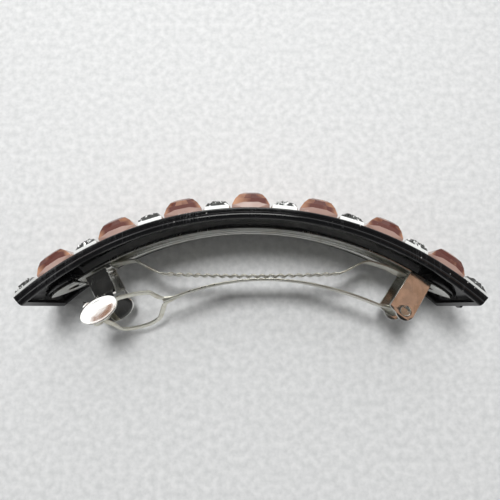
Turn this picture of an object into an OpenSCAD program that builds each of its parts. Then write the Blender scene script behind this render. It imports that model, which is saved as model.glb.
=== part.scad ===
// Curved hair barrette with a row of stones and a steel French clip.
// The barrette lies on one long edge: X runs along its length, Y points out of the
// stones' side, and Z runs across its width, up from the edge that it rests on.

/* [Shell] */
// Width of the shell, measured along Z
shell_w = 20; // [19:0.5:22]
// Radius of the outer face that carries the stones
outer_r = 69.6; // [69.4:0.1:70]
// Half of the angle that the shell spans
half_angle = 42.6; // [42.2:0.1:43]
// Thickness of the shell's top plate
plate_t = 0.9; // [0.8:0.05:1]
// Height of the whole side wall, top plate included
wall_h = 2.3; // [2.1:0.1:2.5]
// Thickness of the side wall
wall_t = 1.5; // [1.3:0.1:1.7]
// Thickness of the wall that closes each end
end_wall_t = 1.2; // [1:0.1:1.4]

/* [Stones] */
// Length of a brown stone along the row
brown_l = 8.1; // [7:0.1:8.2]
// Width of a brown stone across the row
brown_w = 17.4; // [14:0.2:18]
// Height of a brown stone
brown_h = 4.2; // [3.8:0.1:4.5]
// Length of a silver stone along the row
silver_l = 5.8; // [5:0.1:5.9]
// Width of a silver stone across the row
silver_w = 17; // [14:0.2:18]
// Height of a silver stone
silver_h = 2.7; // [2.3:0.1:3]
// Angle from one stone to the next
stone_pitch = 5.8; // [5.8:0.05:5.85]

/* [Clip] */
// Width of the clip's base plate
base_w = 8; // [7.6:0.1:8.4]
// Thickness of the base plate and its ears
base_t = 0.6; // [0.5:0.05:0.7]
// Radius of the hinge holes
hinge_hole_r = 1.05; // [1:0.01:1.1]
// Radial clearance of the arm's pins in the hinge holes
hinge_clearance = 0.05; // [0.03:0.01:0.08]
// Width of the arm's strip
arm_w = 4; // [3.6:0.1:4.4]
// Thickness of the arm's strip
arm_t = 0.45; // [0.4:0.05:0.5]
// Width of the tension bow's strip
bow_w = 4.4; // [4:0.1:4.8]
// Length of a finger pad along the clip
pad_l = 8.6; // [8:0.1:8.8]
// Height of a finger pad along its slope
pad_h = 6; // [5.6:0.1:6.2]

/* [Hidden] */
brown_count = 7;
silver_count = 8;

fine = 240;     // facets of the large arcs
round_fn = 48;  // facets of holes, pins and small rounds
mid_z = shell_w / 2;

// The arcs' common centre lies this far along Y, so that the object's box is centred on Y = 0
centre_y = -58.75;

// Radii and angles of the clip, all about the arcs' centre; angles run from +Y towards +X
inner_r = outer_r - plate_t;
base_r = 66.3;
tab_start = 34.6;
tab_tip = 40.9;
tab_tip_r = 67.75;
glue_rim = 0.9;

// The hinge, by its angle and radius, and the outline of its ears in the local frame
hinge_a = 34;
hinge_r = 58.6;
ear_gap = base_w - 2 * base_t;
ear_end_r = 2.1;
pin_r = hinge_hole_r - hinge_clearance;

// The catch, by the angle of its wings and the radius of their hinge line
catch_a = -29.4;
knuckle_r = 65.5;
knuckle_half = 0.34;
knuckle_z = 3.4;
wing_t = 0.45;
neck_w = 4;
neck_x = 0.1;
neck_drop = 4.3;
neck_out = 0.2;
pad_tilt = 35;
pad_x = -3.5;
pad_drop = 7.5;
rivet_r = 0.8;

// The tension bow's strip and its waves
bow_t = 0.35;
wave_height = 0.16;
wave_length = 2;

// A point at radius r and angle a from +Y towards +X
function polar(r, a) = [r * sin(a), r * cos(a)];
function cubic(p, t) = pow(1 - t, 3) * p[0] + 3 * pow(1 - t, 2) * t * p[1]
    + 3 * (1 - t) * t * t * p[2] + pow(t, 3) * p[3];
function unit(v) = v / norm(v);
function left_of(v) = [-v[1], v[0]];
function direction(p, i) = unit(p[min(i + 1, len(p) - 1)] - p[max(i - 1, 0)]);

// Everything is drawn about the arcs' centre and then moved to the part's origin
module placed() { translate([0, centre_y, 0]) children(); }

// A frame at an angle and radius: x along the arc, y outwards, z from mid-width
module station(a, r) { rotate([0, 0, -a]) translate([0, r, mid_z]) children(); }

// A band of the arc from angle a0 to a1, with the given section of radius and height
module arc_band(a0, a1) {
    rotate([0, 0, 90 - a1]) rotate_extrude(angle = a1 - a0, $fn = fine) children();
}

// A strip of thickness t that follows a flat path, from height z0 to z1
module bent_strip(path, t, z0, z1) {
    sides = [for (side = [-1, 1]) [for (i = [0:len(path) - 1])
        path[i] + side * t / 2 * left_of(direction(path, i))]];
    translate([0, 0, z0]) linear_extrude(z1 - z0)
        polygon(concat(sides[0], [for (i = [len(path) - 1:-1:0]) sides[1][i]]));
}

// A flat strip w wide and t thick that follows a path in space; across gives its width's way
module space_strip(path, across, w, t) {
    function corner(i, s) =
        let (d = direction(path, i), n = unit(cross(d, across)), b = cross(n, d))
        path[i] + b * w / 2 * s[0] + n * t / 2 * s[1];
    signs = [[-1, -1], [1, -1], [1, 1], [-1, 1]];
    last = 4 * (len(path) - 1);
    polyhedron(
        points = [for (i = [0:len(path) - 1]) for (s = signs) corner(i, s)],
        faces = concat([[0, 1, 2, 3], [last + 3, last + 2, last + 1, last]],
            [for (i = [0:len(path) - 2]) for (k = [0:3])
                [4 * i + k, 4 * i + 4 + k, 4 * i + 4 + (k + 1) % 4, 4 * i + (k + 1) % 4]]));
}

// ---- Shell ----

// One side of the shell's section: top plate edge, groove and rounded bead
module wall_section() {
    bead_r = wall_t / 2;
    corner = 0.25;
    difference() {
        union() {
            translate([outer_r - wall_h + bead_r, bead_r]) circle(bead_r, $fn = round_fn);
            translate([outer_r - wall_h + bead_r, 0]) square([wall_h - bead_r - corner, wall_t]);
            translate([outer_r - plate_t, corner]) square([plate_t, wall_t]);
            translate([outer_r - corner, corner]) circle(corner, $fn = round_fn);
        }
        translate([outer_r - plate_t, 0]) circle(0.12, $fn = round_fn);
    }
}

module shell() color("black") placed() {
    arc_band(-half_angle, half_angle) {
        wall_section();
        translate([0, shell_w]) mirror([0, 1]) wall_section();
        translate([inner_r, wall_t / 2]) square([plate_t, shell_w - wall_t]);
    }
    // A low wall closes each end
    rim_r = outer_r - wall_h + 0.1;
    end_a = end_wall_t / outer_r * 180 / PI;
    for (a = [-half_angle, half_angle - end_a]) arc_band(a, a + end_a)
        translate([rim_r, wall_t / 2]) square([outer_r - plate_t / 2 - rim_r, shell_w - wall_t]);
    // The stub that moulding leaves at the foot of the right end
    station(half_angle, rim_r) translate([-0.5, 0.05, -1.2]) cube([1.3, 0.9, 2.4]);
}

// ---- Stones ----

// A cut stone: stacked rings of n corners, each ring [half length, half width, height]
module cut_stone(rings) {
    n = 16;
    top = n * (len(rings) - 1);
    polyhedron(
        points = [for (ring = rings) for (k = [0:n - 1])
            let (a = 360 * k / n) [ring[0] * cos(a), ring[1] * sin(a), ring[2]]],
        faces = concat([[for (k = [0:n - 1]) k]], [[for (k = [n - 1:-1:0]) top + k]],
            [for (i = [0:len(rings) - 2]) for (k = [0:n - 1]) for (half = [0, 1])
                let (a = i * n + k, b = i * n + (k + 1) % n)
                half == 0 ? [a, a + n, b] : [b, a + n, b + n]]));
}

// A stone standing on the shell at an angle, its height outwards
module on_shell(a) { placed() station(a, outer_r) rotate([-90, 0, 0]) children(); }

function brown_angle(i) = 2 * stone_pitch * (i - (brown_count + 1) / 2);
function silver_angle(i) = 2 * stone_pitch * (i - (silver_count + 1) / 2);

module brown_stone(i) color("sienna") on_shell(brown_angle(i)) {
    half = [brown_l / 2, brown_w / 2];
    cut_stone([[half[0], half[1], 0],
               [half[0], half[1], 0.25 * brown_h],
               [0.86 * half[0], 0.93 * half[1], 0.58 * brown_h],
               [0.65 * half[0], 0.8 * half[1], 0.82 * brown_h],
               [0.4 * half[0], 0.62 * half[1], brown_h]]);
}

module silver_stone(i) color("silver") on_shell(silver_angle(i)) {
    half = [silver_l / 2, silver_w / 2];
    cut_stone([[half[0], half[1], 0],
               [0.98 * half[0], 0.99 * half[1], 0.45 * silver_h],
               [0.82 * half[0], 0.92 * half[1], 0.78 * silver_h],
               [0.45 * half[0], 0.7 * half[1], silver_h]]);
}

// ---- Base plate ----

// The pointed outline of an end tab, tip towards +X, from just past its root
module tab_outline(l, w) {
    arc_r = (l * l + w * w / 4) / w;
    intersection() {
        translate([0, arc_r - w / 2]) circle(arc_r, $fn = 96);
        translate([0, w / 2 - arc_r]) circle(arc_r, $fn = 96);
        translate([0.1, -w / 2]) square([l, w]);
    }
}

// A frame on a tab's lower face, x from its root to its tip, y outwards from the centre
module tab_frame(side) {
    root = polar(base_r, tab_start);
    tip = polar(tab_tip_r, tab_tip);
    slope = atan2(tip[1] - root[1], tip[0] - root[0]);
    mirror([side < 0 ? 1 : 0, 0, 0]) translate([root[0], root[1], mid_z]) rotate([0, 0, slope])
        children();
}
tab_l = norm(polar(tab_tip_r, tab_tip) - polar(base_r, tab_start));

// What a tab loses: all but its pointed outline, and its drop-shaped hole
module tab_cut(side) {
    tab_frame(side) rotate([-90, 0, 0]) linear_extrude(4, center = true) {
        difference() {
            translate([0.2, -base_w]) square([tab_l + 2, 2 * base_w]);
            tab_outline(tab_l, base_w);
        }
        translate([1.6, 0]) circle(1, $fn = round_fn);
        polygon([[1.6, -0.95], [4.3, 0], [1.6, 0.95]]);
    }
}

// One ear of the hinge, drawn flat in the local frame of the hinge
module ear_outline() {
    difference() {
        union() {
            circle(ear_end_r, $fn = round_fn);
            polygon([[-3.4, -0.9], [-1.6, -1.36], [1.6, -1.36], [2.1, 0],
                     [1.7, base_r - hinge_r + 0.4], [-3.4, base_r - hinge_r + 0.4]]);
        }
        circle(hinge_hole_r, $fn = round_fn);
    }
}

// The plate's middle line: an arc, with a straight tab bent outwards at each end
base_steps = 48;
function tab_end(side, a, r) = polar(r + base_t / 2, side * a);
base_path = concat([tab_end(-1, tab_tip, tab_tip_r)],
    [for (i = [0:base_steps]) polar(base_r + base_t / 2, tab_start * (2 * i / base_steps - 1))],
    [tab_end(1, tab_tip, tab_tip_r)]);

module base_plate() color("lightsteelblue") placed() {
    difference() {
        union() {
            bent_strip(base_path, base_t, mid_z - base_w / 2, mid_z + base_w / 2);
            for (z = [-base_w / 2, base_w / 2 - base_t])
                station(hinge_a, hinge_r) translate([0, 0, z]) linear_extrude(base_t)
                    ear_outline();
        }
        for (side = [-1, 1]) tab_cut(side);
        // Grooves along the lower face
        for (z = [-2, 0, 2])
            bent_strip([for (i = [1:base_steps - 1])
                            polar(base_r, tab_start * (2 * i / base_steps - 1))],
                       0.3, mid_z + z - 0.3, mid_z + z + 0.3);
        station(catch_a, base_r) rotate([90, 0, 0]) cylinder(h = 4, r = rivet_r, center = true,
                                                             $fn = round_fn);
    }
}

// The adhesive that fills the wedge between a tab and the shell, a little wider than the tab
module tab_glue(side) color("dimgray") placed() {
    intersection() {
        tab_frame(side) rotate([-90, 0, 0]) translate([0, 0, base_t])
            linear_extrude(wall_h) tab_outline(tab_l + glue_rim, base_w + 2 * glue_rim);
        cylinder(h = shell_w, r = inner_r, $fn = fine);
    }
}
module left_glue() { tab_glue(-1); }
module right_glue() { tab_glue(1); }

// ---- Catch ----

// The saddle that clamps the tension bow's end under the base plate
module catch_bridge() color("gainsboro") placed() station(catch_a, knuckle_r) {
    half = knuckle_z - knuckle_half - 0.06;
    difference() {
        union() {
            translate([-2.2, -0.25, -half]) cube([4.4, 0.45, 2 * half]);
            for (z = [-half, half - 0.5]) translate([-2.2, 0.2, z])
                cube([4.4, base_r - knuckle_r - 0.2 - 0.12, 0.5]);
        }
        rotate([90, 0, 0]) cylinder(h = 4, r = rivet_r, center = true, $fn = round_fn);
    }
}

// The rivet through base plate, bow and saddle, with a low head on each end
module catch_rivet() color("silver") placed() station(catch_a, knuckle_r) rotate([-90, 0, 0]) {
    top = base_r + base_t - knuckle_r + 0.03;
    translate([0, 0, -0.26]) cylinder(h = top + 0.27, r = rivet_r, $fn = round_fn);
    translate([0, 0, -0.66]) cylinder(h = 0.4, r1 = 0.9, r2 = 1.4, $fn = round_fn);
    translate([0, 0, top]) cylinder(h = 0.4, r1 = 1.4, r2 = 0.9, $fn = round_fn);
}

// A wing, drawn for the near side: knuckle, neck, oval pad and barb
module wing() {
    // The sloped plane of the pad, with the pad's centre at its origin
    module pad_plane() {
        translate([pad_x, -pad_drop, knuckle_z + neck_out + (pad_drop - neck_drop) * tan(pad_tilt)])
            rotate([-pad_tilt, 0, 0]) rotate([90, 0, 0]) children();
    }
    rotate([0, 90, 0]) translate([-knuckle_z, 0, neck_x - neck_w / 2])
        cylinder(h = neck_w, r = knuckle_half, $fn = round_fn);
    difference() {
        union() {
            translate([neck_x - neck_w / 2, 0, 0]) rotate([90, 0, 90])
                bent_strip([[0, knuckle_z], [-neck_drop, knuckle_z + neck_out],
                            [-neck_drop - 1.8, knuckle_z + neck_out + 1.8 * tan(pad_tilt)]],
                           wing_t, 0, neck_w);
            pad_plane() rotate([90, 0, 0]) translate([0, 0, -wing_t / 2]) linear_extrude(wing_t) {
                straight = (pad_l - pad_h) / 2;
                for (x = [-straight, straight]) translate([x, 0]) circle(pad_h / 2, $fn = round_fn);
                translate([-straight, -pad_h / 2]) square([2 * straight, pad_h]);
                polygon([[-2.9, 2.2], [-1.4, 2.6], [-2.4, 3.6]]);
            }
        }
        // The slot between neck and pad
        translate([-0.3, -4.6, knuckle_z]) rotate([0, 0, catch_a]) linear_extrude(4, center = true) {
            translate([-1, -0.5]) square([2, 1]);
            for (x = [-1, 1]) translate([x, 0]) circle(0.5, $fn = round_fn);
        }
    }
}

module near_wing() color("white") placed() station(catch_a, knuckle_r) wing();
module far_wing() color("gainsboro") placed() station(catch_a, knuckle_r) mirror([0, 0, 1]) wing();

// ---- Tension bow ----

// Left end under the saddle, left bend, waved middle, right bend, right end under the plate
bow_low = -19.9;
bow_high = 19.6;
function bow_middle_y(x) = 56.2 + 0.5 * pow(x / bow_high, 2);
function bow_wave(x) = wave_height * sin(360 * x / wave_length)
    * min(1, (x - bow_low) / 2, (bow_high - x) / 2);
bow_path = concat(
    [polar(66.04, catch_a - 2.3), polar(66.04, catch_a), polar(66.04, catch_a + 2.3),
     [-26.2, 59.75], [-24.7, 59.1], [-22.1, 57.7]],
    [for (x = [bow_low:wave_length / 8:bow_high]) [x, bow_middle_y(x) + bow_wave(x)]],
    [[21.7, 57.6], [24.4, 59.0], [25.9, 59.4], [27.4, 59.1], [30.8, 57.95], [34, 56.2]]);

module tension_bow() color("silver") placed() difference() {
    bent_strip(bow_path, bow_t, mid_z - bow_w / 2, mid_z + bow_w / 2);
    station(catch_a, base_r) rotate([90, 0, 0]) cylinder(h = 4, r = rivet_r, center = true,
                                                         $fn = round_fn);
}

// ---- Arm ----

// The strip from its neck, over the bow, to the hinge
arm_neck = [-19.2, 50.7];
arm_bend = [28, 49.9];
arm_steps = 24;
arm_curve = [arm_neck, [-2.7, 57.5], [11.5, 56.8], arm_bend];
arm_path = concat([for (i = [0:arm_steps]) cubic(arm_curve, i / arm_steps)],
                  [polar(hinge_r, hinge_a) + [-0.6, 0.1]]);

// The loop at the strip's end lies rolled about the strip: near side high, far side low
loop_w = 1.2;
loop_t = 0.45;
loop_across = [0, 0.55, 0.83];
near_branch = [[-17.2, 51.5, 11.1], [-19.3, 51.2, 11.3], [-21.9, 52.5, 13.4], [-25, 52.1, 13.5],
               [-28.3, 51.3, 13.4], [-29.6, 50.8, 13], [-32.6, 47.2, 9.4], [-33.2, 46.6, 8.4]];
far_branch = [[-17.2, 51.5, 8.9], [-19.4, 50.3, 8.2], [-21.2, 47, 4.2], [-23.9, 45.4, 3.6],
              [-26.5, 44.6, 3.5], [-30.1, 44.2, 3.7], [-31.5, 45.2, 5.2], [-32.9, 46.2, 7.6]];
loop_lip = [[-32.6, 46.9, 8.6], [-33.6, 46.1, 8.4], [-34.7, 45.3, 8.3]];

module arm() color("lightgray") placed() {
    bent_strip(arm_path, arm_t, mid_z - arm_w / 2, mid_z + arm_w / 2);
    space_strip(near_branch, loop_across, loop_w, loop_t);
    space_strip(far_branch, loop_across, loop_w, loop_t);
    space_strip(loop_lip, [0, 0.3, 0.95], 2.4, loop_t);
    // The hinge end: a rolled eye as wide as the gap, and the pins that pass through the ears
    station(hinge_a, hinge_r) {
        cylinder(h = ear_gap - 0.3, r = 1.5, center = true, $fn = round_fn);
        cylinder(h = base_w, r = pin_r, center = true, $fn = round_fn);
    }
}

shell();
left_glue();
right_glue();
base_plate();
catch_bridge();
catch_rivet();
near_wing();
far_wing();
tension_bow();
arm();
for (i = [1:brown_count])
    brown_stone(i);
for (i = [1:silver_count])
    silver_stone(i);
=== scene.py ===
"""Looks of a curved hair barrette: black shell, row of cut stones and steel French clip.

Every length in this file is in millimetres unless its name ends in _m, and meshes are
scaled to metres when they are finished. Angles are in degrees, from +Y towards +X.
"""

import logging
import math
import random
from collections.abc import Callable, Sequence
from dataclasses import dataclass, field
from enum import Enum

import bmesh
import bpy
from mathutils import Matrix, Vector


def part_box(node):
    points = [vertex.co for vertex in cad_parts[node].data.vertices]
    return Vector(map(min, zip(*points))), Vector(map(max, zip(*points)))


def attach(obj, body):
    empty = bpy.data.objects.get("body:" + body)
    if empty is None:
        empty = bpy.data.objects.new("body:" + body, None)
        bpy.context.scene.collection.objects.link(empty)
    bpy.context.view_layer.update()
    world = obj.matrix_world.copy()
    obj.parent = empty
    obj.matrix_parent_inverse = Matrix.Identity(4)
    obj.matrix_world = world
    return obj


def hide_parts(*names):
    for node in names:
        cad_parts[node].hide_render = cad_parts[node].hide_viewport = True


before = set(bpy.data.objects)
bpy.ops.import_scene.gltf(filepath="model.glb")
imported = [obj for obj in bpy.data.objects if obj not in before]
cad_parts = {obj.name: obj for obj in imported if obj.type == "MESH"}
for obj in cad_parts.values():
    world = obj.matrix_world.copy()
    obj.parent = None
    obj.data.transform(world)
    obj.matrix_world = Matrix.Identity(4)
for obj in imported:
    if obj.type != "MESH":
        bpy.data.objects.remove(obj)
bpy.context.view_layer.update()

LOG = logging.getLogger("barrette")
MM = 0.001
CORE = "core"  # how deep in a brown stone a corner lies
TONE = "tone"  # how light a brown stone's facet is, or whether a silver one's facet gets the painted dark reflection
END_TONE = 1.6  # the tone that marks a brown stone's end facets

Rgb = tuple[float, float, float]
Path2D = list[tuple[float, float]]


class Body(Enum):
    """The CAD bodies that the pieces ride on."""

    SHELL = "body"
    ARM = "arm"
    NEAR_WING = "near_wing"
    FAR_WING = "far_wing"


class Side(Enum):
    """Which half of the clip a mirrored piece belongs to; the near side has the higher Z."""

    NEAR = 1
    FAR = -1


# ---------------------------------------------------------------- geometry helpers


@dataclass(frozen=True)
class Arc:
    """The circle that shell and clip follow.

    Attributes:
        outer_r: Radius of the face that carries the stones.
        centre_y: Where the circle's centre lies along Y.
        mid_z: Height of the barrette's middle plane.
        half_angle: Half of the angle that the shell spans.
    """

    outer_r: float
    centre_y: float
    mid_z: float
    half_angle: float

    @classmethod
    def of_shell(cls, half_angle: float) -> "Arc":
        """Works the circle out from the CAD shell's box.

        Args:
            half_angle: Half of the angle that the shell spans.

        Returns:
            The arc that the shell's outer face follows.
        """
        low, high = (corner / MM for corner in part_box("shell"))
        outer_r = -low.x / math.sin(math.radians(half_angle))
        return cls(outer_r, high.y - outer_r, (low.z + high.z) / 2, half_angle)

    def point(self, r: float, angle: float, z: float = 0.0) -> Vector:
        """A point at radius r and an angle, z above the middle plane."""
        a = math.radians(angle)
        return Vector((r * math.sin(a), self.centre_y + r * math.cos(a), self.mid_z + z))

    def station(self, r: float, angle: float) -> Matrix:
        """A frame with x along the arc, y outwards and z up from the middle plane."""
        turn = Matrix.Rotation(math.radians(-angle), 4, "Z")
        return Matrix.Translation(self.point(r, angle)) @ turn

    def flat(self, x: float, y: float, z: float = 0.0) -> Vector:
        """A point given by x and y from the circle's centre, z above the middle plane."""
        return Vector((x, y + self.centre_y, self.mid_z + z))


def smooth_path(points: Sequence[Vector], steps: int) -> list[Vector]:
    """Rounds a path with a Catmull-Rom curve.

    Args:
        points: The points that the path passes through.
        steps: Segments between two neighbouring points.

    Returns:
        The points of the rounded path.
    """
    padded = [2 * points[0] - points[1], *points, 2 * points[-1] - points[-2]]
    out = []
    for a, b, c, d in zip(padded, padded[1:], padded[2:], padded[3:]):
        for i in range(steps):
            t = i / steps
            out.append(0.5 * (2 * b + (c - a) * t + (2 * a - 5 * b + 4 * c - d) * t * t
                              + (3 * b - a - 3 * c + d) * t ** 3))
    return [*out, points[-1].copy()]


def rounded_rectangle(width: float, thick: float, radius: float, steps: int = 3) -> Path2D:
    """The outline of a strip's section, anticlockwise, centred on the origin."""
    radius = min(radius, width / 2 - 1e-4, thick / 2 - 1e-4)
    out = []
    for quarter, (sx, sy) in enumerate(((1, 1), (-1, 1), (-1, -1), (1, -1))):
        cx, cy = sx * (width / 2 - radius), sy * (thick / 2 - radius)
        for i in range(steps + 1):
            a = math.radians(90 * quarter + 90 * i / steps)
            out.append((cx + radius * math.cos(a), cy + radius * math.sin(a)))
    return out


def circle_points(cx: float, cy: float, r: float, start: float, end: float, steps: int) -> Path2D:
    """Points on a circle from one angle to another, both from +x towards +y."""
    angles = (math.radians(start + (end - start) * i / steps) for i in range(steps + 1))
    return [(cx + r * math.cos(a), cy + r * math.sin(a)) for a in angles]


class Piece:
    """One visible piece while its mesh is being built."""

    def __init__(self, name: str) -> None:
        """Starts an empty mesh with the piece's name."""
        self.name = name
        self.mesh = bmesh.new()

    def loft(self, rings: Sequence[Sequence[Vector]], caps: bool = True) -> None:
        """Joins rings of points into a closed skin.

        Args:
            rings: Rings with the same number of points each, in order.
            caps: Whether the first and last ring are closed with a face.
        """
        made = [[self.mesh.verts.new(p) for p in ring] for ring in rings]
        count = len(rings[0])
        for a, b in zip(made, made[1:]):
            for k in range(count):
                n = (k + 1) % count
                self.mesh.faces.new((a[k], a[n], b[n], b[k]))
        if caps:
            self.mesh.faces.new(made[0][::-1])
            self.mesh.faces.new(made[-1])

    def strip(self, path: Sequence[Vector], across: Vector | Sequence[Vector],
              width: float | Callable[[float], float], thick: float, radius: float = 0.1) -> None:
        """Sweeps a strip with rounded edges along a path.

        Args:
            path: The strip's middle line.
            across: The way of its width, the same all along or one for each point.
            width: Its width, or a function that gives it from 0 to 1 along the path.
            thick: Its thickness.
            radius: The rounding of its edges.
        """
        rings = []
        last = len(path) - 1
        for i, p in enumerate(path):
            ahead = (path[min(i + 1, last)] - path[max(i - 1, 0)]).normalized()
            side = across if isinstance(across, Vector) else across[i]
            normal = ahead.cross(side).normalized()
            level = normal.cross(ahead)
            w = width(i / last) if callable(width) else width
            rings.append([p + level * u + normal * v
                          for u, v in rounded_rectangle(w, thick, radius)])
        self.loft([shrunk(rings[0], radius * 0.6), *rings[1:-1], shrunk(rings[-1], radius * 0.6)])

    def slab(self, outline: Path2D, holes: Sequence[Path2D], thick: float, place: Matrix,
             edge: float = 0.08) -> None:
        """Adds a flat plate with rounded edges, cut to an outline and pierced by holes.

        Args:
            outline: Its outer edge in the plate's plane.
            holes: The edges of its holes.
            thick: Its thickness, half on each side of the plane.
            place: The plate's frame.
            edge: The rounding of its edges.
        """
        curve = bpy.data.curves.new(self.name + "_outline", "CURVE")
        curve.dimensions = "2D"
        curve.fill_mode = "BOTH"
        curve.extrude = thick / 2 - edge
        curve.bevel_depth = edge
        curve.bevel_resolution = 2
        curve.offset = -edge
        for points in (outline, *holes):
            spline = curve.splines.new("POLY")
            spline.points.add(len(points) - 1)
            for point, (x, y) in zip(spline.points, points):
                point.co = (x, y, 0, 1)
            spline.use_cyclic_u = True
        holder = bpy.data.objects.new(curve.name, curve)
        bpy.context.scene.collection.objects.link(holder)
        mesh = bpy.data.meshes.new_from_object(
            holder.evaluated_get(bpy.context.evaluated_depsgraph_get()))
        mesh.transform(place)
        self.mesh.from_mesh(mesh)
        bpy.data.objects.remove(holder)
        bpy.data.curves.remove(curve)
        bpy.data.meshes.remove(mesh)

    def finish(self, body: Body, material: bpy.types.Material, nodes: Sequence[str],
               sharp: float = 40.0) -> bpy.types.Object:
        """Turns the mesh into an object that rides on its body and stands for its CAD nodes.

        Args:
            body: The CAD body that the piece moves with.
            material: Its material.
            nodes: The CAD nodes that it stands for.
            sharp: Edges with a sharper turn than this are shaded as edges.

        Returns:
            The finished object.
        """
        bmesh.ops.remove_doubles(self.mesh, verts=self.mesh.verts, dist=1e-4)
        bmesh.ops.recalc_face_normals(self.mesh, faces=self.mesh.faces)
        bmesh.ops.scale(self.mesh, vec=(MM, MM, MM), verts=self.mesh.verts)
        data = bpy.data.meshes.new(self.name)
        self.mesh.to_mesh(data)
        self.mesh.free()
        data.shade_smooth()
        data.set_sharp_from_angle(angle=math.radians(sharp))
        data.materials.append(material)
        obj = bpy.data.objects.new(self.name, data)
        bpy.context.scene.collection.objects.link(obj)
        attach(obj, body.value)
        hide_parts(*nodes)
        even = obj.modifiers.new("even_shading", "WEIGHTED_NORMAL")
        even.keep_sharp = True
        LOG.info("%s rides on %s for %s", self.name, body.value, ", ".join(nodes))
        return obj


def shrunk(ring: Sequence[Vector], margin: float) -> list[Vector]:
    """Draws a strip's end ring in, so that the end has a soft edge.

    Args:
        ring: The points of the end ring.
        margin: How far its furthest point is drawn in.

    Returns:
        The points of the smaller ring.
    """
    middle = sum(ring, Vector()) / len(ring)
    share = margin / max((p - middle).length for p in ring)
    return [p.lerp(middle, share) for p in ring]


# ---------------------------------------------------------------- shared shader effects


class Nodes:
    """A node tree with short calls for adding and joining nodes."""

    def __init__(self, tree: bpy.types.NodeTree) -> None:
        """Wraps a tree."""
        self.tree = tree

    def add(self, kind: str, values: dict[str, object] | None = None,
            **settings: object) -> bpy.types.Node:
        """Adds a node.

        Args:
            kind: The node's type name without "ShaderNode".
            values: Its input sockets' values, or the sockets that feed them, by name.
            **settings: Its own properties.

        Returns:
            The new node.
        """
        prefix = "" if kind.startswith("Node") else "ShaderNode"
        node = self.tree.nodes.new(prefix + kind)
        for key, value in settings.items():
            setattr(node, key, value)
        for key, value in (values or {}).items():
            socket = node.inputs[int(key)] if key.isdigit() else node.inputs[key]
            if isinstance(value, bpy.types.NodeSocket):
                self.tree.links.new(value, socket)
            else:
                socket.default_value = value
        return node

    def maths(self, operation: str, a: object, b: object = 0.0) -> bpy.types.NodeSocket:
        """The output of a Math node."""
        return self.add("Math", {"0": a, "1": b}, operation=operation).outputs[0]

    def ramp(self, value: object, low: float, high: float, to_low: float = 0.0,
             to_high: float = 1.0) -> bpy.types.NodeSocket:
        """A value clamped and mapped from one range to another."""
        node = self.add("MapRange", {"Value": value, "From Min": low, "From Max": high,
                                     "To Min": to_low, "To Max": to_high})
        return node.outputs["Result"]

    def mix(self, factor: object, a: object, b: object) -> bpy.types.NodeSocket:
        """Two colours mixed."""
        node = self.add("Mix", {"Factor": factor}, data_type="RGBA")
        for name, value in (("A", a), ("B", b)):
            socket = next(s for s in node.inputs if s.name == name and s.type == "RGBA")
            if isinstance(value, bpy.types.NodeSocket):
                self.tree.links.new(value, socket)
            else:
                socket.default_value = (*value, 1.0)
        return next(s for s in node.outputs if s.type == "RGBA")

    def stretched(self, vector: bpy.types.NodeSocket, scale: Rgb) -> bpy.types.NodeSocket:
        """A vector scaled along its axes."""
        node = self.add("Mapping", {"Vector": vector, "Scale": scale})
        return node.outputs["Vector"]


class Effect(Enum):
    """The effects that several finishes share, by the name of their node group."""

    SCRATCHES = "fine_scratches"
    DUST = "dust_specks"
    SMUDGES = "finger_smudges"
    DRAWN = "drawn_lines"


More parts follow.
